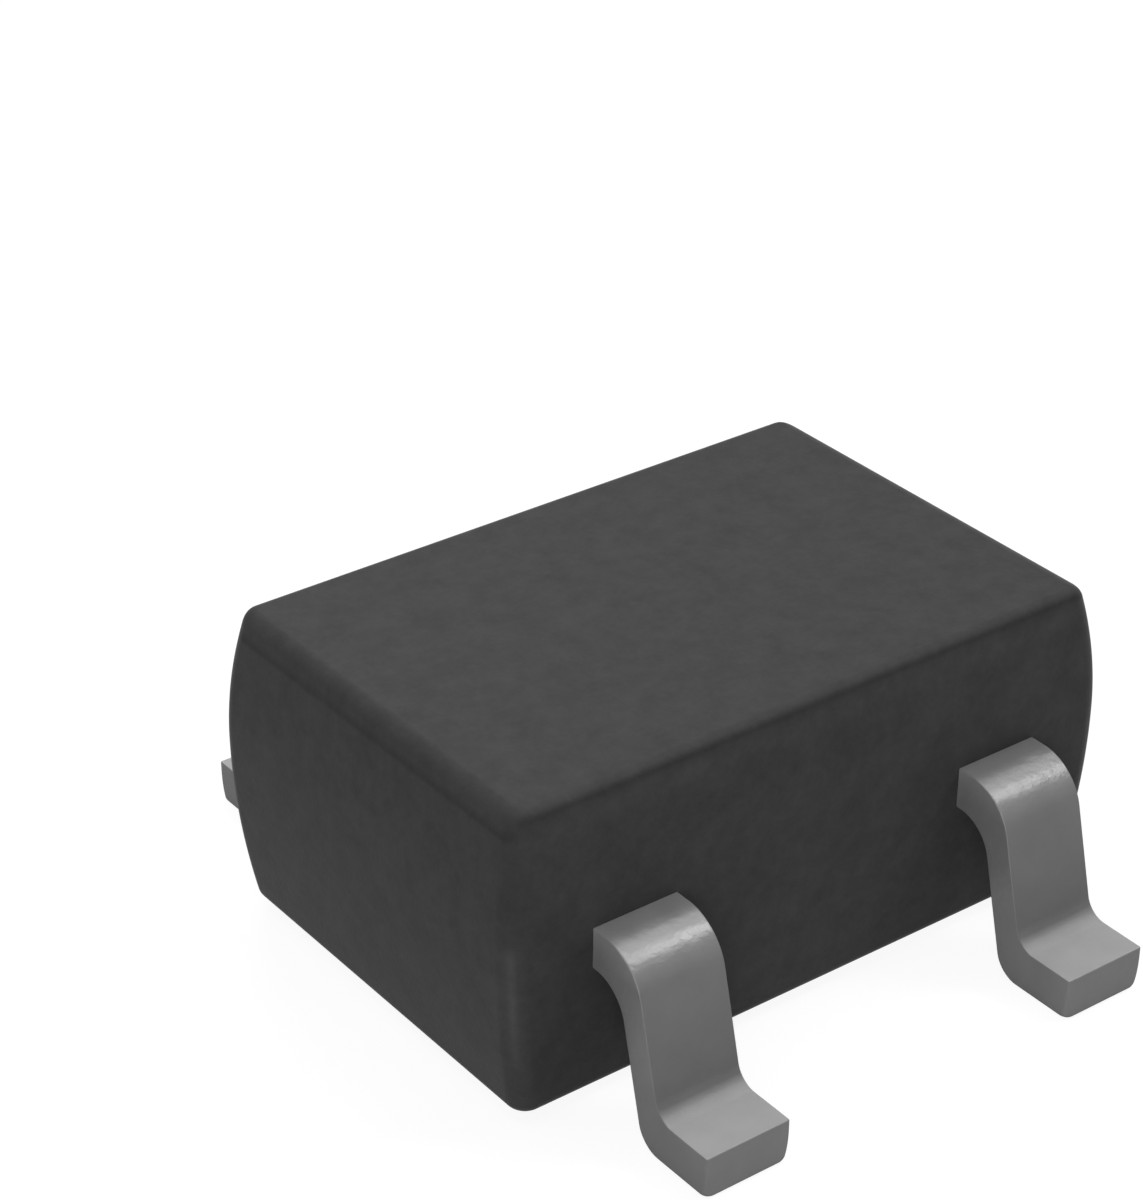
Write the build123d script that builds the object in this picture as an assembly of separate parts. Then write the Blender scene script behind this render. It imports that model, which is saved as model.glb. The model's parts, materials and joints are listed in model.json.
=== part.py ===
from build123d import *
import os
from math import atan2, cos, degrees, hypot, radians, tan

# A five-lead moulded chip with gull-wing leads, two on its front long side and three on its back.
# Millimetres. X runs along the body, Y across it from the two-lead side to the three-lead side,
# and Z is up. The origin is on the solder plane, under the middle of the chip.

# Moulded body. Its four sides are convex, and widest level with the top faces of the leads,
# where the two halves of the mould meet.
body_length = 2.13
body_width = 1.42
body_height = 0.975
standoff = 0.03
end_bulge = 0.058
side_bulge = 0.034
corner_radius = 0.065
top_edge_radius = 0.055
bottom_edge_radius = 0.045

# Leads, stamped from one strip and bent down to the solder plane. Forming thins the shank,
# and stamping leaves a die roll, a rounding, along the edges of the underside.
lead_pitch = 0.65
lead_width = 0.283
lead_thickness = 0.138
shank_thickness = 0.104
lead_span = 2.405
lead_top_height = 0.595
foot_length = 0.278
shank_angle = 13.5
shoulder_outer_radius = 0.163
shoulder_inner_radius = 0.123
instep_radius = 0.072
heel_radius = 0.086
die_roll_radius = 0.015
tip_corner_radius = 0.02

# Inner ends of the leads: a wide anchor behind a skin of epoxy, and the die pad on one lead.
anchor_skin = 0.08
anchor_length = 0.15
anchor_width = 0.38
pad_length = 0.90
pad_gap = 0.10
pad_corner_radius = 0.05

# Silicon die and the layer that holds it on the pad.
die_length = 0.44
die_width = 0.44
die_thickness = 0.15
attach_thickness = 0.02
attach_margin = 0.02

# Bond wires: a ball on the die, a loop with two kinks over the ball, and a flattened end on the lead.
wire_diameter = 0.025
ball_diameter = 0.06
ball_height = 0.02
stitch_length = 0.06
stitch_width = 0.05
stitch_height = 0.012
bond_inset = 0.06
loop_height = 0.10
kink_rise = 0.025
kink_run = 0.03

# Heights and places that follow from the sizes above.
body_top = standoff + body_height
parting_height = lead_top_height
lead_underside_height = lead_top_height - lead_thickness
anchor_outer_end = body_width / 2 - anchor_skin
anchor_inner_end = anchor_outer_end - anchor_length
anchor_middle = (anchor_outer_end + anchor_inner_end) / 2
pad_width = 2 * (anchor_inner_end - pad_gap)
attach_top_height = lead_top_height + attach_thickness
die_top_height = attach_top_height + die_thickness

# Leads are numbered anticlockwise from above: 1, 2 and 3 at the back, 4 and 5 at the front.
# Each entry holds the lead's place along X, in pitches, and its side, where +1 is the back.
# The lead in the middle of the back row carries the die pad.
lead_places = {
    "1": (1, 1),
    "2": (0, 1),
    "3": (-1, 1),
    "4": (-1, -1),
    "5": (1, -1),
}

# Two shapes closer than this are taken to touch.
touching = 1e-5
on_its_base = (Align.CENTER, Align.CENTER, Align.MIN)


def barrel_section(width, bulge):
    """Upright section of the body: level top and bottom, and sides of two arcs each.

    The two arcs of a side are upright where they meet, at the parting line.
    """
    half = width / 2
    edge = half - bulge
    outline = [
        TangentArc((half, parting_height), (edge, body_top), tangent=(0, 1)),
        Line((edge, body_top), (-edge, body_top)),
        TangentArc((-half, parting_height), (-edge, body_top), tangent=(0, 1)),
        TangentArc((-half, parting_height), (-edge, standoff), tangent=(0, -1)),
        Line((-edge, standoff), (edge, standoff)),
        TangentArc((half, parting_height), (edge, standoff), tangent=(0, -1)),
    ]
    return make_face(outline)


def moulded_blank():
    """The body before anything is set in it: two barrel sections crossed, with rounded edges."""
    along = extrude(Plane.XZ * barrel_section(body_length, end_bulge), amount=body_width, both=True)
    across = extrude(Plane.YZ * barrel_section(body_width, side_bulge), amount=body_length, both=True)
    blank = along & across
    corners = [edge for edge in blank.edges() if abs(edge.tangent_at(0.5).Z) > 0.5]
    blank = fillet(corners, corner_radius)
    blank = fillet(blank.edges().group_by(Axis.Z)[-1], top_edge_radius)
    return fillet(blank.edges().group_by(Axis.Z)[0], bottom_edge_radius)


def lead_faces(inner_end):
    """Lower and upper outline of a lead, seen from its side: level, down the shank, level.

    Both run from the inner end to the tip. Each bend has its own radius on each face.
    """
    slope = tan(radians(shank_angle))
    tip = lead_span / 2
    heel = tip - foot_length
    front = heel + shank_thickness / cos(radians(shank_angle))
    lower_corners = [
        (inner_end, lead_underside_height),
        (heel - slope * lead_underside_height, lead_underside_height),
        (heel, 0),
        (tip, 0),
    ]
    upper_corners = [
        (inner_end, lead_top_height),
        (front - slope * lead_top_height, lead_top_height),
        (front - slope * lead_thickness, lead_thickness),
        (tip, lead_thickness),
    ]
    lower = FilletPolyline(*lower_corners, radius=[shoulder_inner_radius, heel_radius])
    upper = FilletPolyline(*upper_corners, radius=[shoulder_outer_radius, instep_radius])
    return lower, upper


def bent_strip(inner_end):
    """The strip of a lead, bent in the YZ plane towards +Y.

    The die roll runs along the underside, and the tip is cut with two round corners.
    """
    lower, upper = lead_faces(inner_end)
    ends = [Line(lower @ 0, upper @ 0), Line(lower @ 1, upper @ 1)]
    profile = make_face(lower.edges() + upper.edges() + ends)
    strip = extrude(Plane.YZ * profile, amount=lead_width / 2, both=True)
    underside = Plane.YZ * lower
    rails = [Pos(side * lead_width / 2, 0, 0) * underside for side in (-1, 1)]
    rolled = [edge for edge in strip.edges() if min(rail.distance_to(edge @ 0.5) for rail in rails) < touching]
    rolled += strip.edges().filter_by(Axis.X).group_by(Axis.Z)[0].sort_by(Axis.Y)[-1:]
    strip = fillet(rolled, die_roll_radius)
    reach = lead_span / 2 - inner_end
    plan = Pos(0, inner_end + reach / 2) * Rectangle(lead_width, reach)
    plan = fillet(plan.vertices().group_by(Axis.Y)[-1], tip_corner_radius)
    return strip & extrude(plan, amount=lead_top_height)


def plate(outline):
    """A flat piece of the strip with this outline, level with the leads where they leave the body."""
    return Pos(0, 0, lead_underside_height) * extrude(outline, amount=lead_thickness)


def lead(number):
    """A gull-wing lead at its place: bent strip, anchor, and on one lead the die pad."""
    place, side = lead_places[number]
    carries_pad = place == 0
    inner_end = 0 if carries_pad else anchor_middle
    shape = bent_strip(inner_end)
    shape += Pos(0, anchor_middle, 0) * plate(Rectangle(anchor_width, anchor_length))
    if carries_pad:
        shape += plate(RectangleRounded(pad_length, pad_width, pad_corner_radius))
    turn = 0 if side > 0 else 180
    return Pos(place * lead_pitch, 0, 0) * (Rot(0, 0, turn) * shape)


def die():
    """The silicon die, in the middle of the pad."""
    block = Box(die_length, die_width, die_thickness, align=on_its_base)
    return Pos(0, 0, attach_top_height) * block


def die_attach():
    """The layer under the die, a little larger than the die all round."""
    length = die_length + 2 * attach_margin
    width = die_width + 2 * attach_margin
    return Pos(0, 0, lead_top_height) * Box(length, width, attach_thickness, align=on_its_base)


def bond_wire(number):
    """A wire that rises from its ball on the die, bends over in two kinks and runs down to its lead."""
    place, side = lead_places[number]
    ball_x = place * (die_length / 2 - bond_inset)
    ball_y = side * (die_width / 2 - bond_inset)
    stitch_x = place * lead_pitch
    stitch_y = side * (anchor_inner_end + bond_inset)
    run = hypot(stitch_x - ball_x, stitch_y - ball_y)
    heading = degrees(atan2(stitch_y - ball_y, stitch_x - ball_x))
    drop = die_top_height - lead_top_height
    route = Plane.XZ * Polyline(
        (0, 0),
        (0, loop_height - kink_rise),
        (kink_run, loop_height),
        (run, wire_diameter / 2 - drop),
    )
    wire = sweep((route ^ 0) * Circle(wire_diameter / 2), path=route, transition=Transition.RIGHT)
    ball = Cylinder(ball_diameter / 2, ball_height, align=on_its_base)
    stitch = Pos(run, 0, -drop) * Box(stitch_length, stitch_width, stitch_height, align=on_its_base)
    return Pos(ball_x, ball_y, die_top_height) * (Rot(0, 0, heading) * (wire + ball + stitch))


pieces = {}
for lead_number in lead_places:
    pieces[f"lead_{lead_number}"] = lead(lead_number)
pieces["die_attach"] = die_attach()
pieces["silicon_die"] = die()
for lead_number in lead_places:
    pieces[f"bond_wire_{lead_number}"] = bond_wire(lead_number)

# The epoxy flows round everything that it holds, so each piece leaves its own shape in the body.
body = moulded_blank()
for piece in pieces.values():
    body -= piece
pieces["moulded_body"] = body

os.makedirs("parts", exist_ok=True)
for name, piece in pieces.items():
    export_step(piece, f"parts/{name}.step")
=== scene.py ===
# %% [markdown]
# # A five-lead chip, dressed for its portrait
#
# The chip is a block of black epoxy about two millimetres long, with five bent leads that carry
# it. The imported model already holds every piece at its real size. This lesson loads that model,
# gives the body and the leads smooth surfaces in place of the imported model's facets, mixes their
# finishes from nodes, and lights them as a small product studio would.

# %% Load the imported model
import json
from math import asin, cos, pi, radians, sin, sqrt, tan

import bpy
import numpy as np
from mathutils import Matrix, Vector

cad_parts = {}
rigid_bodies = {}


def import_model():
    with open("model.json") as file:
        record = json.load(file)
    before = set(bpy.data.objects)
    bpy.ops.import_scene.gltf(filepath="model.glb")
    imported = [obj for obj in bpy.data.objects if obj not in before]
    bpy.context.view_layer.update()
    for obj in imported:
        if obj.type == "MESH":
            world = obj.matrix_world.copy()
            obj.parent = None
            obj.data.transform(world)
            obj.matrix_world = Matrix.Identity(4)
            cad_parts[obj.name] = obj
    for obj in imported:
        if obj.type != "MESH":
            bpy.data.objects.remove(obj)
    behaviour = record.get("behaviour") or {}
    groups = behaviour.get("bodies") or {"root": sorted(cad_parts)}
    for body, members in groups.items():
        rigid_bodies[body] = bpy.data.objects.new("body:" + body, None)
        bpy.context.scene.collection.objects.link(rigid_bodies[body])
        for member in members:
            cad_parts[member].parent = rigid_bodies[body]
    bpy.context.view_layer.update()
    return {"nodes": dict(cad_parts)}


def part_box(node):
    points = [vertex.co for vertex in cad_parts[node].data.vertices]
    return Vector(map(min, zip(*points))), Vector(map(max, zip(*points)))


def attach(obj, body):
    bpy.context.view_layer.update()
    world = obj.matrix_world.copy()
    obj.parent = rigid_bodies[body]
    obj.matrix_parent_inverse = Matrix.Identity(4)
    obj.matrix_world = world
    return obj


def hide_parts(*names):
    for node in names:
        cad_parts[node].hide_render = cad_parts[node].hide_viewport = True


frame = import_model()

scene = bpy.context.scene
mm = 0.001
print("pieces in the packed model:", ", ".join(sorted(frame["nodes"])))

# %% [markdown]
# ## The camera
#
# The picture looks at the chip from above its front left corner with a long lens, so its long
# edges run together only a little. The chip fills the lower right of the frame. Shifting the lens
# could do that too, but the edges converge as they do when the camera simply aims at a point
# above and to the left of the chip, so that is what this camera does. The picture is taller than
# it is wide, so the automatic fit lays the size of the sensor along its height.

# %% Place the camera
picture_height = 1200
sensor_size = 36.0
lens_length = 101.93
camera_azimuth = radians(-36.757)
camera_elevation = radians(29.88)
camera_distance = 9.43 * mm
aim = Vector((-0.333, 0.0, 1.1086)) * mm

towards_camera = Vector((
    sin(camera_azimuth) * cos(camera_elevation),
    -cos(camera_azimuth) * cos(camera_elevation),
    sin(camera_elevation),
))
camera_data = bpy.data.cameras.new("camera")
camera_data.lens = lens_length
camera_data.sensor_fit = "AUTO"
camera_data.sensor_width = sensor_size
camera_data.clip_start = 0.1 * mm
camera_data.clip_end = 2000 * mm
camera = bpy.data.objects.new("camera", camera_data)
camera.location = aim + towards_camera * camera_distance
camera.rotation_mode = "QUATERNION"
camera.rotation_quaternion = (-towards_camera).to_track_quat("-Z", "Y")
scene.collection.objects.link(camera)
scene.camera = camera
focal_pixels = lens_length / sensor_size * picture_height
print("one mm at the aim spans", round(focal_pixels * mm / camera_distance), "pixels")


# %% [markdown]
# ## From arrays to meshes
#
# Every new surface here is a grid of points: a loop of points, repeated at one level after
# another. Two helpers do the work that all of them share. The first joins neighbouring loops
# with four-sided faces. The second makes the Blender mesh and gives each vertex a normal that
# leans towards its largest faces. Flat faces then shade flat right up to a rounded edge, which
# plain smooth shading would smear.

# %% Join loops with faces
def loop_faces(levels, around):
    """Quads between neighbouring loops of a grid whose point (i, j) has the number i * around + j.

    Each loop closes on itself, so column j joins column (j + 1) modulo the number around.
    """
    level, place = np.meshgrid(np.arange(levels - 1), np.arange(around), indexing="ij")
    beside = (place + 1) % around
    low, high = level * around, (level + 1) * around
    quads = np.stack([low + place, low + beside, high + beside, high + place], axis=-1)
    return quads.reshape(-1, 4)


def cap_faces(ring, centre):
    """Triangles from each edge of a ring of point numbers to the centre's point number."""
    return np.stack([ring, np.roll(ring, -1), np.full_like(ring, centre)], axis=-1)


print("three loops of four points are joined by", len(loop_faces(3, 4)), "faces")


# %% Normals that lean towards large faces
def corner_sums(points, faces):
    """For each vertex, the sum of its faces' normals, each as long as its face is large.

    A face's normal is the cross product of its two diagonals, or of two sides of a triangle,
    and half that product's length is the face's area.
    """
    first = points[faces[:, 2]] - points[faces[:, 0]]
    second = points[faces[:, -1]] - points[faces[:, 1]]
    normals = np.cross(first, second)
    sums = np.zeros_like(points)
    for corner in range(faces.shape[1]):
        np.add.at(sums, faces[:, corner], normals)
    return sums


square = np.array([(0, 0, 0), (1, 0, 0), (1, 1, 0), (0, 1, 0)], dtype=float)
square_sums = corner_sums(square, np.array([[0, 1, 2, 3]]))
print("a square of area 1 adds twice its area to each corner:", square_sums[0])


# %% Make a mesh piece
def make_piece(name, points, quads, triangles):
    """A mesh object at the origin, from points in metres and arrays of faces."""
    mesh = bpy.data.meshes.new(name)
    mesh.from_pydata(points.tolist(), [], quads.tolist() + triangles.tolist())
    mesh.polygons.foreach_set("use_smooth", np.ones(len(mesh.polygons), dtype=bool))
    normals = corner_sums(points, quads)
    if len(triangles):
        normals += corner_sums(points, triangles)
    normals /= np.linalg.norm(normals, axis=1, keepdims=True)
    mesh.normals_split_custom_set_from_vertices(normals.tolist())
    piece = bpy.data.objects.new(name, mesh)
    scene.collection.objects.link(piece)
    return piece


# %% Measure a piece
def report(piece):
    """Prints a piece's faces, size and volume, which is positive when its faces point outwards."""
    count = len(piece.data.vertices)
    points = np.empty(count * 3)
    piece.data.vertices.foreach_get("co", points)
    points = points.reshape(-1, 3) / mm
    piece.data.calc_loop_triangles()
    corners = np.empty(len(piece.data.loop_triangles) * 3, dtype=np.int64)
    piece.data.loop_triangles.foreach_get("vertices", corners)
    a, b, c = (points[corners[k::3]] for k in range(3))
    volume = np.einsum("ij,ij->i", a, np.cross(b, c)).sum() / 6
    size = np.round(np.ptp(points, axis=0), 3)
    print(f"{piece.name}: {len(a)} triangles, size {size} mm, volume {volume:.4f} mm3")


# %% [markdown]
# ## The moulded body
#
# The body is transfer moulded: molten epoxy fills two half moulds that close round the lead
# frame. Its four sides bulge to a widest line where the halves meet, level with the tops of the
# leads, and every edge is round so that it leaves the mould.
#
# A cube with bevels would give flat sides. Instead, one function gives the upright section of a
# side as two arcs and two edge roundings, another carries that section round a rectangle with
# rounded corners, and the two short sides bulge more than the two long ones, as on the chip.

# %% Sizes of the body
body_low, body_high = (np.array(corner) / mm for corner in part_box("moulded_body"))
half_length = (body_high[0] - body_low[0]) / 2
half_width = (body_high[1] - body_low[1]) / 2
body_base, body_top = body_low[2], body_high[2]
parting_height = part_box("lead_1")[1].z / mm
end_bulge = 0.058
side_bulge = 0.034
corner_radius = 0.065
end_edge_radius = 0.064
side_edge_radius = 0.040
bottom_edge_radius = 0.045
levels_of_body = [round(z, 4) for z in (body_base, parting_height, body_top)]
print("body, half length and half width:", round(half_length, 4), round(half_width, 4))
print("body, base, parting line and top:", *levels_of_body)


# %% The section of one half of a side
def half_side(reach, bulge, height, edge_radius, wall_steps, edge_steps):
    """Distances from the middle and heights above the parting line, from that line to the flat.

    The wall is a circle that is upright at the parting line and comes in by the bulge over the
    height, so its radius is (bulge squared + height squared) / (2 bulge). The edge is a smaller
    circle that touches the wall from inside and the flat from below.
    """
    wall_radius = (bulge**2 + height**2) / (2 * bulge)
    wall_middle = reach - wall_radius
    edge_rise = height - edge_radius
    edge_middle = wall_middle + sqrt((wall_radius - edge_radius) ** 2 - edge_rise**2)
    meeting = asin(edge_rise / (wall_radius - edge_radius))
    wall = np.linspace(0, meeting, wall_steps + 1)
    edge = np.linspace(meeting, pi / 2, edge_steps + 1)[1:]
    wall_part = (wall_middle + wall_radius * np.cos(wall), wall_radius * np.sin(wall))
    edge_part = (edge_middle + edge_radius * np.cos(edge), edge_rise + edge_radius * np.sin(edge))
    out, rise = np.hstack([wall_part, edge_part])
    return out, rise


# %% The section carried round the body
def whole_side(reach, bulge, edge_radius):
    """The section from the bottom flat up to the top flat: distances out, heights, wall levels."""
    steps = dict(wall_steps=28, edge_steps=12)
    below, above = parting_height - body_base, body_top - parting_height
    low_out, low_rise = half_side(reach, bulge, below, bottom_edge_radius, **steps)
    high_out, high_rise = half_side(reach, bulge, above, edge_radius, **steps)
    out = np.concatenate([low_out[:0:-1], high_out])
    height = np.concatenate([parting_height - low_rise[:0:-1], parting_height + high_rise])
    first_wall = steps["edge_steps"]
    last_wall = len(out) - 1 - steps["edge_steps"]
    return out, height, first_wall, last_wall


end_section = whole_side(half_length, end_bulge, end_edge_radius)
on_edges = 2 * end_section[2]
print("levels of the body:", len(end_section[0]), "of which on its rounded edges:", on_edges)


# %% One turn round the body
def around_rectangle(corner_steps, side_steps):
    """One turn round a rounded rectangle: each point's direction, and which corner it leans on.

    The direction turns a quarter at each corner and holds still along a side, while the lean
    goes from one corner, at (1, 1), to the next, at (-1, 1), and so on round.
    """
    leans = np.array([(1, 1), (-1, 1), (-1, -1), (1, -1)], dtype=float)
    turn = np.linspace(0, pi / 2, corner_steps + 1)
    share = np.linspace(0, 1, side_steps + 1)[1:-1, None]
    directions, corners = [], []
    for quarter in range(4):
        here, there = leans[quarter], leans[(quarter + 1) % 4]
        directions += [quarter * pi / 2 + turn, np.full(len(share), (quarter + 1) * pi / 2)]
        corners += [np.tile(here, (len(turn), 1)), here + share * (there - here)]
    return np.concatenate(directions), np.concatenate(corners)


turns = dict(corner_steps=12, side_steps=10)
print("points round each level:", len(around_rectangle(**turns)[0]))


# %% [markdown]
# ### Painted shade and light along the edges
#
# Shade and light are painted into the colour along the moulding's edges. A thin dark line of
# painted shade follows the upper edge, with a paler band of painted light under it on the long
# sides. The upright edges are painted paler from the parting line down, with a painted highlight as
# a streak in the middle. The near walls show this, and the others are given the same.
#
# They could be painted by height in the material, but the dark line runs lower on the ends, where
# the edge is rounder, than on the sides. So each point of the surface is given its own shade here,
# and the material reads it.

# %% Painted shade and light along the edges
# A shade is how much darker or paler a band of painted shade or light is, as a share of the plain
# epoxy. A reach is how far it goes above and below its height, and a fade is the way over which it
# comes up, both in mm. The dark line is painted shade, the paler band and corners are painted
# light, and the streak is a painted highlight.
line_shade, line_reach = 0.28, 0.016
end_line_height, side_line_height = body_top - 0.070, body_top - 0.020
band_shade, band_reach, band_height = 0.13, 0.050, body_top - 0.070
corner_light, corner_light_top, corner_light_fade = 0.20, parting_height + 0.045, 0.04
streak_highlight, streak_low, streak_fade, streak_power = 0.32, 0.20, 0.13, 14
print("dark line on the ends at height", round(end_line_height, 3))
print("dark line on the sides at height", round(side_line_height, 3))


# %% Each point's shade
def near_height(height, middle, reach):
    """1 at the middle height, falling evenly to 0 at the reach above and below it."""
    return np.clip(1 - np.abs(height - middle) / reach, 0, 1)[:, None]


def painted_edge_lights(end_height, side_height, end_share, side_share):
    """The body's shades, level by level and round each level, where 1 is plain and 0 is black.

    The painted dark line is shared out between end and side as their heights are. The painted light
    on the corners is shared out as twice the cosine times the sine of the direction, which is 1 in
    the middle of a corner and 0 at its sides. The painted highlight of the streak is a high power
    of that, which makes it narrow.
    """
    # The dark line is painted shade, the band and the paler corners are painted light, and the
    # streak is a painted highlight.
    end_line = near_height(end_height, end_line_height, line_reach)
    side_line = near_height(side_height, side_line_height, line_reach)
    line = end_line * end_share + side_line * side_share
    band = near_height(side_height, band_height, band_reach) * side_share
    corner_lit = np.clip((corner_light_top - side_height) / corner_light_fade, 0, 1)[:, None]
    streak = np.clip((side_height - streak_low) / streak_fade, 0, 1)[:, None]
    corner_share = np.sqrt(4 * end_share * side_share)
    streak = streak_highlight * streak * corner_share**streak_power
    return 1 - line_shade * line + band_shade * band + corner_lit * (corner_light * corner_share + streak)


half_up = np.array([0.5])
streak_there = painted_edge_lights(half_up, half_up, end_share=0.5, side_share=0.5)[0, 0]
print("shade of the streak half a millimetre up:", round(streak_there, 2))


# %% The body's surface
def body_surface():
    """Points and faces of the body, and the shade of each point.

    At each level the corner's middle lies one corner radius inside the walls, and stays where it
    is over the rounded edges. A point stands off from that middle by the reach of the end where
    it faces the end, by the reach of the side where it faces the side, and in between by the
    two shared out as the squares of the cosine and sine of its direction.
    """
    end_out, end_height, first_wall, last_wall = whole_side(half_length, end_bulge, end_edge_radius)
    side_out, side_height, _, _ = whole_side(half_width, side_bulge, side_edge_radius)
    held = np.clip(np.arange(len(end_out)), first_wall, last_wall)
    middle_x = (end_out[held] - corner_radius)[:, None]
    middle_y = (side_out[held] - corner_radius)[:, None]
    direction, lean = around_rectangle(**turns)
    end_share, side_share = np.cos(direction) ** 2, np.sin(direction) ** 2
    end_reach, side_reach = end_out[:, None] - middle_x, side_out[:, None] - middle_y
    stand_off = end_reach * end_share + side_reach * side_share
    x = middle_x * lean[:, 0] + stand_off * np.cos(direction)
    y = middle_y * lean[:, 1] + stand_off * np.sin(direction)
    z = end_height[:, None] * end_share + side_height[:, None] * side_share
    shade = painted_edge_lights(end_height, side_height, end_share, side_share)
    levels, around = x.shape
    points = np.stack([x, y, z], axis=-1).reshape(-1, 3)
    points = np.vstack([points, (0, 0, body_base), (0, 0, body_top)])
    bottom_ring = np.arange(around)[::-1]
    top_ring = np.arange(around) + (levels - 1) * around
    caps = np.vstack([
        cap_faces(bottom_ring, levels * around),
        cap_faces(top_ring, levels * around + 1),
    ])
    return points * mm, loop_faces(levels, around), caps, np.append(shade.ravel(), (1, 1))


# %% Make the body
points, quads, caps, shades = body_surface()
body = make_piece("epoxy_body", points, quads, caps)
# Each point keeps its painted shade and light, which the epoxy multiplies into its colour.
shade_of_point = body.data.attributes.new("painted_edge_light", "FLOAT", "POINT")
shade_of_point.data.foreach_set("value", shades)
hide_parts("moulded_body")
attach(body, "root")
report(body)
print("shades from", round(shades.min(), 2), "to", round(shades.max(), 2))

# %% [markdown]
# ## The leads
#
# The leads are stamped from a strip of copper alloy, plated with tin, and bent to a gull wing: out
# of the body, down the shank, and out again into a foot that is soldered to the board. Bending
# stretches the metal, so the shank is thinner than the foot. The punch leaves crisp edges on the
# upper face and rolled edges on the lower one.
#
# A flat strip with a curve modifier would keep one thickness all along. Here the upper and the
# lower outline are worked out on their own, each with its own bend radii, and a section with two
# crisp and two rolled corners is stretched between them. The same function makes the wide anchor
# inside the epoxy, and the die pad on the middle lead, by changing the width along the way.

# %% Sizes of the leads
lead_pitch = 0.65
lead_width = 0.283
lead_thickness = 0.138
shank_thickness = 0.104
foot_length = 0.278
shank_angle = radians(13.5)
shoulder_outer_radius = 0.163
shoulder_inner_radius = 0.123
instep_radius = 0.072
heel_radius = 0.086
die_roll_radius = 0.015
tip_radius_below = 0.034
tip_radius_above = 0.006
crisp_radius = 0.004
tip_steps = 21
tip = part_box("lead_1")[1].y / mm
anchor_inner_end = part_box("lead_1")[0].y / mm
anchor_length = 0.15
anchor_width = 0.38
pad_length = 0.90
pad_gap = 0.10
pad_end = anchor_inner_end - pad_gap
pad_corner_radius = 0.05
lead_low = parting_height - lead_thickness
print("lead tip and anchor, from the middle:", round(tip, 4), round(anchor_inner_end, 4))


# %% Widths inside the epoxy
def anchor_places():
    """Stations and half widths of a plain lead's anchor: wide, then a step in to the lead."""
    outer = anchor_inner_end + anchor_length
    places = [anchor_inner_end, outer, outer]
    widths = [anchor_width / 2, anchor_width / 2, lead_width / 2]
    return places, widths


def pad_places():
    """Stations and half widths of the die pad, the neck behind it, and then the anchor.

    Near each end of the pad the half width follows a quarter circle of the pad's corner radius.
    """
    turn = np.linspace(0, pi / 2, 9)
    from_end = pad_corner_radius * (1 - np.cos(turn))
    narrowing = pad_corner_radius * (1 - np.sin(turn))
    rounded = pad_length / 2 - narrowing
    places = np.concatenate([-pad_end + from_end, (pad_end - from_end)[::-1], [pad_end]])
    widths = np.concatenate([rounded, rounded[::-1], [lead_width / 2]])
    more_places, more_widths = anchor_places()
    places = np.concatenate([places, [anchor_inner_end], more_places])
    widths = np.concatenate([widths, [lead_width / 2], more_widths])
    return places.tolist(), widths.tolist()


print("stations inside the epoxy, on a plain lead:", len(anchor_places()[0]))
print("stations inside the epoxy, on the lead with the pad:", len(pad_places()[0]))


# %% A line with rounded bends
def bent_outline(corners, radii, steps):
    """Points along a line through the corners, with each inner corner rounded by its radius.

    An arc starts and ends at the corner's distance of radius times the tangent of half the turn.
    Its middle is a radius to the side of the start, on the side to which the line turns.
    """
    corners = np.array(corners, dtype=float)
    legs = np.diff(corners, axis=0)
    headings = np.arctan2(legs[:, 1], legs[:, 0])
    parts = [corners[:1]]
    for corner, radius, before, after in zip(corners[1:-1], radii, headings, headings[1:]):
        turn = after - before
        start = corner - radius * tan(abs(turn) / 2) * np.array([cos(before), sin(before)])
        side = np.sign(turn)
        middle = start + radius * side * np.array([-sin(before), cos(before)])
        heading = np.linspace(before, after, steps + 1)
        parts.append(middle + radius * side * np.stack([np.sin(heading), -np.cos(heading)], axis=1))
    return np.vstack(parts)


right_angle = bent_outline([(0, 0), (1, 0), (1, 1)], [0.5], steps=8)
closest = np.hypot(*(right_angle - (1, 0)).T).min()
print("a right angle rounded by 0.5 passes its corner at", closest.round(3))


# %% The two outlines of a lead
def lead_stations(inner_places):
    """The lower and upper outline of a lead, station by station, from the inner end to the tip.

    Columns are the distance out and the height. The last stations run close together towards the
    tip, at the sine of an even turn, where the corners of the tip are rounded.
    """
    heel = tip - foot_length
    front = heel + shank_thickness / cos(shank_angle)
    slope = tan(shank_angle)
    lower = bent_outline(
        [(inner_places[-1], lead_low), (heel - slope * lead_low, lead_low), (heel, 0), (tip, 0)],
        [shoulder_inner_radius, heel_radius],
        steps=20,
    )
    upper = bent_outline(
        [
            (inner_places[-1], parting_height),
            (front - slope * parting_height, parting_height),
            (front - slope * lead_thickness, lead_thickness),
            (tip, lead_thickness),
        ],
        [shoulder_outer_radius, instep_radius],
        steps=20,
    )
    inner = np.array(inner_places[:-1])[:, None]
    closing = np.sin(np.linspace(0, pi / 2, tip_steps))[:, None]
    end = tip - tip_radius_below + tip_radius_below * closing
    lower = np.vstack([np.hstack([inner, 0 * inner + lead_low]), lower, np.hstack([end, 0 * end])])
    upper = np.vstack([
        np.hstack([inner, 0 * inner + parting_height]),
        upper,
        np.hstack([end, 0 * end + lead_thickness]),
    ])
    return lower, upper


plain_lower, plain_upper = lead_stations(anchor_places()[0])
lines_across = np.hypot(*(plain_upper - plain_lower).T)
print("stations on a plain lead:", len(lines_across))
print("shortest line across it:", round(min(lines_across), 4), "mm")


# %% The rounding of the tip
def rounding_at_tip(out, radius):
    """How far a quarter circle that ends at the tip has come in, at a distance out."""
    past = np.maximum(out - (tip - radius), 0)
    return radius - np.sqrt(np.maximum(radius**2 - past**2, 0))


at_tip = rounding_at_tip(tip, tip_radius_below)
print("at the tip a corner has come in by its radius:", round(at_tip, 4))


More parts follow.
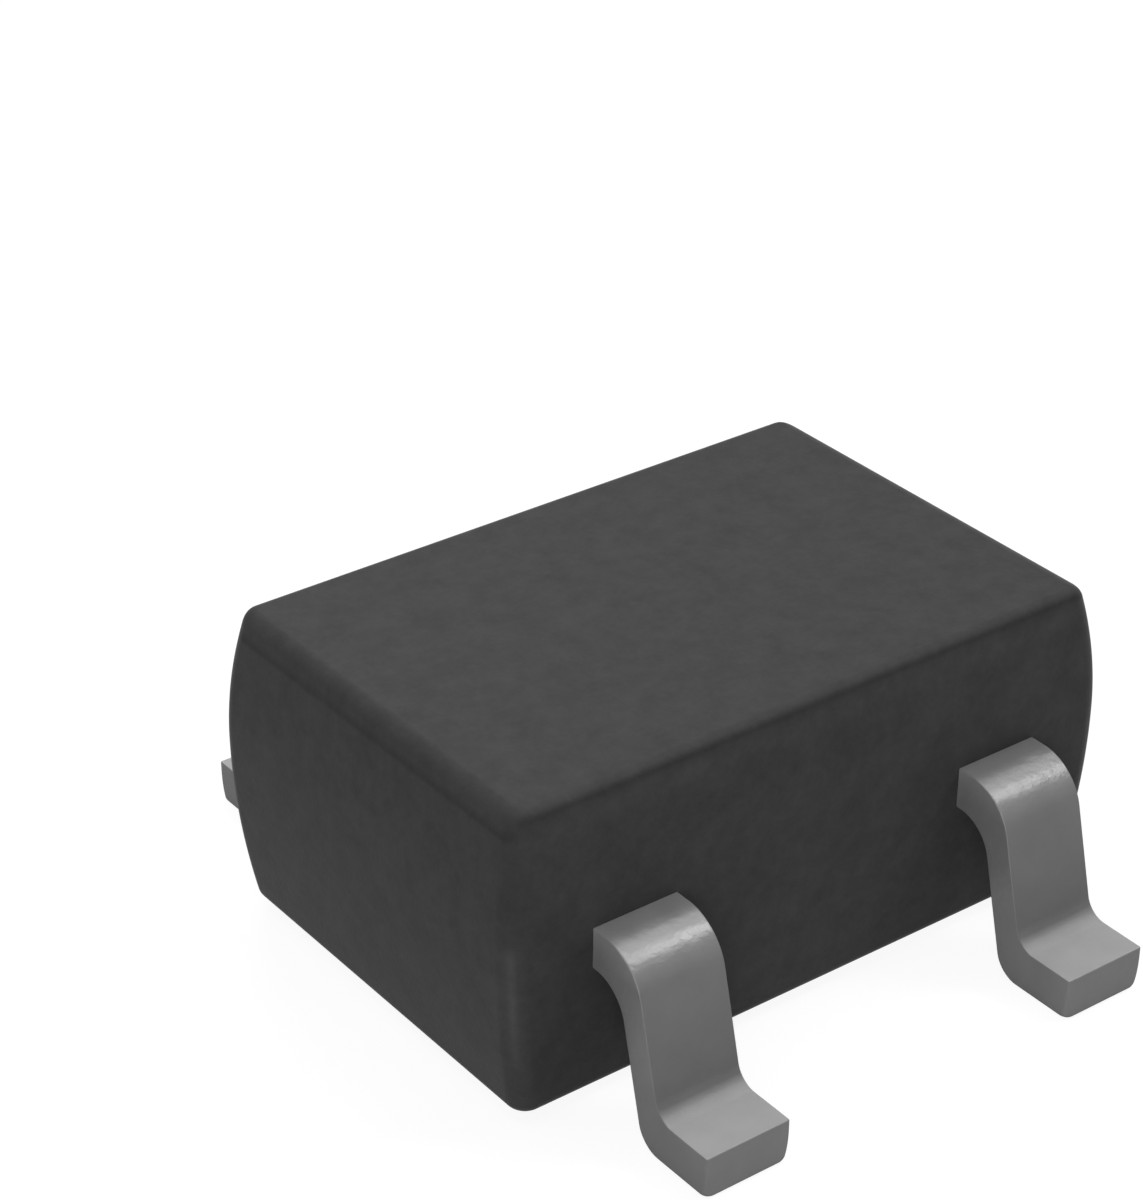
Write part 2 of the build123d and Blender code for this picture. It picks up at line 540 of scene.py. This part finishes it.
# %% The section stretched between the outlines
def lead_surface(inner_places, half_widths):
    """Points and faces of a lead that reaches out along +Y.

    The section is a rectangle whose lower corners are rolled and whose upper ones are crisp. Each
    of its points is a corner's middle plus the corner's radius in the point's direction, so the
    roundings keep their size while the width and the thickness change along the lead. Seen from
    above, the two corners of the tip are quarter circles. Their radius falls from the underside
    up, as the cube of the share of the thickness that is left above.
    """
    lower, upper = lead_stations(inner_places)
    count = len(lower)
    half = np.concatenate([half_widths, np.full(count - len(half_widths), lead_width / 2)])
    out = np.maximum(lower[:, 0], upper[:, 0])
    across = upper - lower
    thickness = np.linalg.norm(across, axis=1)
    rise = across / thickness[:, None]
    bottom = rounding_at_tip(out, die_roll_radius)
    top = thickness - rounding_at_tip(out, crisp_radius)

    quarter = np.linspace(0, pi / 2, 7)
    between = np.linspace(0, 1, 9)[1:-1]
    section = [
        (1, 1, quarter), (-1, 1, quarter + pi / 2), (-1, between[::-1], pi),
        (-1, 0, quarter + pi), (1, 0, quarter + 1.5 * pi), (1, between, 0),
    ]
    columns = zip(*(np.broadcast_arrays(*part) for part in section))
    side, lift, direction = (np.concatenate(column) for column in columns)
    radius = np.where(lift == 1, crisp_radius, die_roll_radius)
    lowest, highest = bottom[:, None] + die_roll_radius, top[:, None] - crisp_radius
    up = lowest + lift * (highest - lowest) + radius * np.sin(direction)
    fade = np.clip(1 - up / lead_thickness, 0, 1) ** 3
    corner = tip_radius_above + (tip_radius_below - tip_radius_above) * fade
    narrowing = rounding_at_tip(out[:, None], corner)
    x = side * (half[:, None] - narrowing - radius) + radius * np.cos(direction)
    y = lower[:, :1] + rise[:, :1] * up
    z = lower[:, 1:] + rise[:, 1:] * up
    around = x.shape[1]
    points = np.stack([x, y, z], axis=-1).reshape(-1, 3)
    inner_end, tip_end = points[:around].mean(axis=0), points[-around:].mean(axis=0)
    points = np.vstack([points, inner_end, tip_end])
    first_ring = np.arange(around)
    last_ring = first_ring[::-1] + (count - 1) * around
    caps = np.vstack([
        cap_faces(first_ring, count * around),
        cap_faces(last_ring, count * around + 1),
    ])
    return points, loop_faces(count, around)[:, ::-1], caps


# %% Place the five leads
lead_places = {
    "lead_1": (1, 1),
    "lead_2": (0, 1),
    "lead_3": (-1, 1),
    "lead_4": (-1, -1),
    "lead_5": (1, -1),
}
leads = {}
for node, (place, side) in lead_places.items():
    inner_places, half_widths = pad_places() if place == 0 else anchor_places()
    points, quads, caps = lead_surface(inner_places, half_widths)
    points = points * (side, side, 1) + (place * lead_pitch, 0, 0)
    lead = make_piece("tinned_" + node, points * mm, quads, caps)
    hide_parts(node)
    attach(lead, "root")
    leads[node] = lead
    report(lead)


# %% [markdown]
# ## Finishes
#
# A helper starts each material and wires up nodes by name, so that a finish reads as a short list
# of what is mixed into it. Apart from the painted shade and light along the body's edges, all
# patterns are laid out on Object coordinates. The pieces sit at the origin in metres, so a noise of
# scale 100000 has grains about ten thousandths of a millimetre across.

# %% Start a material
def start_material(name):
    """A new material with a Principled shader wired to its output, and its Object coordinates."""
    material = bpy.data.materials.new(name)
    material.use_nodes = True
    nodes = material.node_tree.nodes
    nodes.clear()
    output = nodes.new("ShaderNodeOutputMaterial")
    shader = nodes.new("ShaderNodeBsdfPrincipled")
    place = nodes.new("ShaderNodeTexCoord")
    material.node_tree.links.new(shader.outputs["BSDF"], output.inputs["Surface"])
    return material, shader, place.outputs["Object"]


# %% Noise, and the range of a value
def add_noise(material, place, scale, detail=2.0, roughness=0.5):
    """A noise of that many grains a metre, from 0 to 1."""
    noise = material.node_tree.nodes.new("ShaderNodeTexNoise")
    noise.inputs["Scale"].default_value = scale
    noise.inputs["Detail"].default_value = detail
    noise.inputs["Roughness"].default_value = roughness
    material.node_tree.links.new(place, noise.inputs["Vector"])
    return noise.outputs["Fac"]


def add_spread(material, value, low, high, from_low=0.3, from_high=0.7):
    """The value, spread from its usual range to the range from low to high."""
    spread = material.node_tree.nodes.new("ShaderNodeMapRange")
    spread.inputs["From Min"].default_value = from_low
    spread.inputs["From Max"].default_value = from_high
    spread.inputs["To Min"].default_value = low
    spread.inputs["To Max"].default_value = high
    material.node_tree.links.new(value, spread.inputs["Value"])
    return spread.outputs["Result"]


# %% Sums with numbers and coordinates
def add_math(material, operation, *values):
    """The result of a Math node on values, each of them a number or another node's output."""
    node = material.node_tree.nodes.new("ShaderNodeMath")
    node.operation = operation
    for socket, value in zip(node.inputs, values):
        if isinstance(value, float):
            socket.default_value = value
        else:
            material.node_tree.links.new(value, socket)
    return node.outputs["Value"]


def add_split(material, place):
    """The three Object coordinates, one by one, in metres."""
    split = material.node_tree.nodes.new("ShaderNodeSeparateXYZ")
    material.node_tree.links.new(place, split.inputs["Vector"])
    return split.outputs["X"], split.outputs["Y"], split.outputs["Z"]


# %% Bumps and tints
def add_bump(material, shader, height, depth):
    """Bumps of that depth in metres, where the height goes from 0 to 1."""
    bump = material.node_tree.nodes.new("ShaderNodeBump")
    bump.inputs["Strength"].default_value = 1.0
    bump.inputs["Distance"].default_value = depth
    material.node_tree.links.new(height, bump.inputs["Height"])
    material.node_tree.links.new(bump.outputs["Normal"], shader.inputs["Normal"])


def add_tint(material, shader, value, low_colour, high_colour):
    """The shader's base colour goes from one colour to the other as the value goes from 0 to 1."""
    mix = material.node_tree.nodes.new("ShaderNodeMix")
    mix.data_type = "RGBA"
    mix.inputs["A"].default_value = (*low_colour, 1)
    mix.inputs["B"].default_value = (*high_colour, 1)
    material.node_tree.links.new(value, mix.inputs["Factor"])
    material.node_tree.links.new(mix.outputs["Result"], shader.inputs["Base Color"])


def give(material, *pieces):
    """Puts the material on pieces, in place of any that they have."""
    for piece in pieces:
        piece.data.materials.clear()
        piece.data.materials.append(material)


# %% [markdown]
# ### Epoxy
#
# The moulding compound is epoxy filled with silica and blackened with carbon. It isn't black: it is
# a dark charcoal grey. The filler mottles it, and the matte walls of the mould leave it with a fine
# grain. The mottle is a noise with much fine detail, and the painted shade and light of the
# surface's own points then darken and lighten it along the edges. The grain is only a bump, of a
# height that would be lost in a mesh.

# %% Epoxy
charcoal_low, charcoal_high = 0.047, 0.063
epoxy, shader, place = start_material("black_epoxy")
shader.inputs["Roughness"].default_value = 0.45
shader.inputs["Specular IOR Level"].default_value = 0.035
mottle = add_noise(epoxy, place, scale=9000, detail=4.0, roughness=0.8)
charcoal = add_spread(epoxy, mottle, charcoal_low, charcoal_high)
# The painted shade and light along the edges, read from each point of the body.
painted_edge_light = epoxy.node_tree.nodes.new("ShaderNodeAttribute")
painted_edge_light.attribute_name = "painted_edge_light"
shade = add_math(epoxy, "MULTIPLY", charcoal, painted_edge_light.outputs["Fac"])
epoxy.node_tree.links.new(shade, shader.inputs["Base Color"])
grain = add_noise(epoxy, place, scale=90000, detail=2.0)
add_bump(epoxy, shader, grain, depth=0.0006 * mm)
give(epoxy, body)
print("epoxy: grey from", charcoal_low, "to", charcoal_high, "before the shades of the edges")

# %% [markdown]
# ### Matte tin
#
# Plated tin is a bed of fine crystals, and scatters most of the light as a dull grey. The forming
# tool wipes down over the shoulder and the shank, which may be why the shoulder has a sheen. The
# grey is painted darker down the shank and paler over the shoulder, as painted shade and light. The
# sheared sides and the cut tip are given a paler colour, which is painted light. The upper face of
# the foot is given the palest colour, which is partly the tin's own paler tone and partly a painted
# reflection of the shine on it. Whether it is so, or only shines there, one picture can't tell:
# here it is given a paler colour.
#
# One material serves all five leads, so it has to find these faces by itself, from the Object
# coordinates. The leads stand one pitch apart along X. Ping-Pong folds X back and forth over half
# a pitch, which gives every point its distance from the middle of its own lead, and so the sides.
# The distance out along Y gives the tip, and the height Z gives the foot, the shank and the
# shoulder.

# %% The faces of a lead
tin, shader, place = start_material("matte_tin")
along, out, height = add_split(tin, place)
half_lead, foot_top = lead_width / 2 * mm, lead_thickness * mm
crisp_rim, mask_edge = 0.0005 * mm, 0.002 * mm
tip_start = (tip - tip_radius_below) * mm
instep_rise = 0.03 * mm

from_middle = add_math(tin, "PINGPONG", along, lead_pitch / 2 * mm)
side = add_spread(
    tin, from_middle, 0, 1, from_low=half_lead - mask_edge, from_high=half_lead - crisp_rim)
past_side = add_math(tin, "ABSOLUTE", out)
end = add_spread(tin, past_side, 0, 1, from_low=tip_start - mask_edge, from_high=tip_start)
under_rim = add_spread(
    tin, height, 1, 0, from_low=foot_top - mask_edge, from_high=foot_top - crisp_rim)
cut = add_math(tin, "MAXIMUM", side, add_math(tin, "MULTIPLY", end, under_rim))
up_to_instep = add_spread(tin, height, 1, 0, from_low=foot_top, from_high=foot_top + instep_rise)
foot = add_math(tin, "SUBTRACT", add_math(tin, "SUBTRACT", up_to_instep, under_rim), cut)
foot = add_math(tin, "MAXIMUM", foot, 0.0)
print("corners of the tip start", round(tip_start / mm, 4), "mm from the middle")

# %% Tin
# The shank's darker grey and the shoulder's paler grey are painted shade and light, and so is the
# paler colour of the cut faces. The foot's paler colour is partly its own tone and partly a painted
# reflection.
shank_grey, shoulder_grey = 0.195, 0.275
cut_painted_light, foot_tone_and_reflection = 0.075, 0.225
dull, burnished = 0.02, 0.28
shank_end, shoulder_start = 0.5 * mm, 0.585 * mm
sheen_start, sheen_end = 0.2 * mm, 0.45 * mm
shader.inputs["Specular IOR Level"].default_value = 0.0
# Grey painted by height: darker down the shank as shade, paler over the shoulder as light.
grey_painted_by_height = add_spread(tin, height, shank_grey, shoulder_grey, shank_end, shoulder_start)
# The cut faces are painted paler, as painted light.
grey = add_math(tin, "MULTIPLY_ADD", cut, cut_painted_light, grey_painted_by_height)
# The upper face of the foot is painted paler, partly its own tone and partly a painted reflection.
grey = add_math(tin, "MULTIPLY_ADD", foot, foot_tone_and_reflection, grey)
patches = add_noise(tin, place, scale=9000, detail=2.0)
grey = add_math(tin, "MULTIPLY", grey, add_spread(tin, patches, 0.96, 1.04))
sheen = add_spread(tin, height, dull, burnished, sheen_start, sheen_end)
roughness = add_spread(tin, patches, 0.28, 0.36)
for value, socket in ((grey, "Base Color"), (sheen, "Metallic"), (roughness, "Roughness")):
    tin.node_tree.links.new(value, shader.inputs[socket])
crystals = add_noise(tin, place, scale=36000, detail=4.0, roughness=0.6)
add_bump(tin, shader, crystals, depth=0.0020 * mm)
give(tin, *leads.values())
foot_grey = round(shank_grey + foot_tone_and_reflection, 3)
print("tin: shank", shank_grey, "shoulder", shoulder_grey, "foot", foot_grey)

# %% [markdown]
# ### The pieces sealed inside
#
# Nothing of them shows, but whoever takes the chip apart will see them: grey silicon, gold wires,
# and the dull paste that holds the die down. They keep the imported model's own meshes, which are
# true to shape, and only get materials. Each is a noise between two near colours.

# %% Silicon, gold and paste
silicon, shader, place = start_material("silicon")
shader.inputs["Roughness"].default_value = 0.25
shader.inputs["Metallic"].default_value = 0.6
blocks = add_spread(silicon, add_noise(silicon, place, scale=30000), 0, 1)
add_tint(silicon, shader, blocks, (0.10, 0.11, 0.14), (0.17, 0.18, 0.22))
give(silicon, frame["nodes"]["silicon_die"])

paste, shader, place = start_material("die_paste")
shader.inputs["Roughness"].default_value = 0.7
flakes = add_spread(paste, add_noise(paste, place, scale=150000), 0, 1)
add_tint(paste, shader, flakes, (0.35, 0.34, 0.32), (0.55, 0.54, 0.52))
give(paste, frame["nodes"]["die_attach"])

gold, shader, place = start_material("gold_wire")
shader.inputs["Metallic"].default_value = 1.0
shader.inputs["Roughness"].default_value = 0.3
drawn = add_spread(gold, add_noise(gold, place, scale=200000), 0, 1)
add_tint(gold, shader, drawn, (0.85, 0.58, 0.22), (0.95, 0.68, 0.30))
wires = [node for name, node in frame["nodes"].items() if name.startswith("bond_wire")]
give(gold, *wires)
print("sealed pieces with a finish:", 2 + len(wires))


# %% [markdown]
# ## Floor, backdrop and light
#
# The chip stands on white paper that runs on to the horizon. Its colour is a pale grey, and that is
# how it lights the chip from below. For the rays that the camera sees, straight on, in a mirror
# image or through glass, the sheet and the room round it glow until they are white. The paper keeps
# a little of its own shading there, so that the chip's shadow still shows on it, faintly. It lies a
# thousandth of a millimetre under the feet, because two surfaces in one plane would flicker.

# %% Which rays are seen
def seen_rays(tree):
    """A value that is 1 for rays from the camera, off a mirror or through glass, otherwise 0."""
    path = tree.nodes.new("ShaderNodeLightPath")
    seen = path.outputs["Is Camera Ray"]
    for kind in ("Is Glossy Ray", "Is Transmission Ray"):
        either = tree.nodes.new("ShaderNodeMath")
        either.operation = "MAXIMUM"
        tree.links.new(seen, either.inputs[0])
        tree.links.new(path.outputs[kind], either.inputs[1])
        seen = either.outputs["Value"]
    return seen


def lit_or_seen(tree, lighting, seen):
    """One shader for the rays that light the chip, and another for the rays that are seen."""
    mixed = tree.nodes.new("ShaderNodeMixShader")
    tree.links.new(seen_rays(tree), mixed.inputs["Fac"])
    tree.links.new(lighting.outputs[0], mixed.inputs[1])
    tree.links.new(seen.outputs[0], mixed.inputs[2])
    return mixed.outputs["Shader"]


# %% The sheet of paper
floor_reach, floor_height = 60 * mm, -0.001 * mm
floor_corners = [
    (-floor_reach, -floor_reach, floor_height),
    (floor_reach, -floor_reach, floor_height),
    (floor_reach, floor_reach, floor_height),
    (-floor_reach, floor_reach, floor_height),
]
floor_mesh = bpy.data.meshes.new("floor")
floor_mesh.from_pydata(floor_corners, [], [(0, 1, 2, 3)])
floor = bpy.data.objects.new("floor", floor_mesh)
scene.collection.objects.link(floor)
print("floor:", round(2 * floor_reach / mm), "mm square, at height", floor_height / mm, "mm")

# %% Its material
sheet_grey, shadow_grey, sheet_glow = 0.68, 0.14, 0.92
paper = bpy.data.materials.new("white_paper")
paper.use_nodes = True
nodes, links = paper.node_tree.nodes, paper.node_tree.links
nodes.clear()
output = nodes.new("ShaderNodeOutputMaterial")
sheet = nodes.new("ShaderNodeBsdfDiffuse")
sheet.inputs["Color"].default_value = (sheet_grey, sheet_grey, sheet_grey, 1)
shadow_catcher = nodes.new("ShaderNodeBsdfDiffuse")
shadow_catcher.inputs["Color"].default_value = (shadow_grey, shadow_grey, shadow_grey, 1)
glow = nodes.new("ShaderNodeEmission")
glow.inputs["Strength"].default_value = sheet_glow
seen_sheet = nodes.new("ShaderNodeAddShader")
links.new(shadow_catcher.outputs[0], seen_sheet.inputs[0])
links.new(glow.outputs[0], seen_sheet.inputs[1])
links.new(lit_or_seen(paper.node_tree, sheet, seen_sheet), output.inputs["Surface"])
give(paper, floor)
print("paper: grey", sheet_grey, "as it lights, glow", sheet_glow, "as it is seen")

# %% The room round it
room_grey = 0.02
world = bpy.data.worlds.new("studio")
world.use_nodes = True
scene.world = world
nodes, links = world.node_tree.nodes, world.node_tree.links
nodes.clear()
output = nodes.new("ShaderNodeOutputWorld")
room = nodes.new("ShaderNodeBackground")
room.inputs["Color"].default_value = (room_grey, room_grey, room_grey, 1)
backdrop = nodes.new("ShaderNodeBackground")
backdrop.inputs["Color"].default_value = (1, 1, 1, 1)
links.new(lit_or_seen(world.node_tree, room, backdrop), output.inputs["Surface"])
print("room: grey", room_grey, "as it lights, white as it is seen")

# %% [markdown]
# ### The lamps
#
# A product studio lights a small part from all round with softboxes, which are square area lamps.
# A broad one overhead and a broad one behind, to the right, light the top. One close by on the
# left lets the light on the top fall off towards the right. A low one in front fills both near
# walls. Two small bright ones stand high: the one at the right gleams along the shoulders of the
# leads, and the one behind lights their level tops.
#
# How strong each had to be was first worked out: the chip was rendered once with each lamp alone,
# and the pictures were weighed until their sum had the tones wanted. The last corrections were made
# one by one. Together the lamps light the top of the chip at a level of about 1, where a colour
# renders about as it is written.

# %% A softbox
def softbox(name, azimuth, elevation, distance, width, strength):
    """A square lamp that faces the chip, at a bearing where 0 is the front and 90 the left.

    Its power is pi times its area times its strength, so that its surface has that radiance.
    """
    lamp_data = bpy.data.lights.new(name, "AREA")
    lamp_data.shape = "SQUARE"
    lamp_data.size = width
    lamp_data.energy = pi * width**2 * strength
    lamp = bpy.data.objects.new(name, lamp_data)
    turn, lift = radians(azimuth), radians(elevation)
    outward = Vector((-sin(turn) * cos(lift), -cos(turn) * cos(lift), sin(lift)))
    lamp.location = outward * distance
    lamp.rotation_mode = "QUATERNION"
    lamp.rotation_quaternion = outward.to_track_quat("Z", "Y")
    scene.collection.objects.link(lamp)
    print(f"{name}: {width / mm:.0f} mm wide, {1000 * lamp_data.energy:.3f} mW")


# %% Light the chip
far = 40 * mm
softbox("overhead", azimuth=0, elevation=90, distance=far, width=30 * mm, strength=0.8)
softbox("left_close", azimuth=90, elevation=60, distance=8 * mm, width=6 * mm, strength=1.4)
softbox("behind_right", azimuth=240, elevation=65, distance=far, width=28 * mm, strength=2.0)
softbox("behind_spot", azimuth=200, elevation=45, distance=far, width=10 * mm, strength=9.0)
softbox("right_spot", azimuth=300, elevation=52, distance=far, width=10 * mm, strength=13.0)
softbox("front_low", azimuth=36, elevation=15, distance=far, width=18 * mm, strength=3.8)
scene.view_settings.view_transform = "Standard"
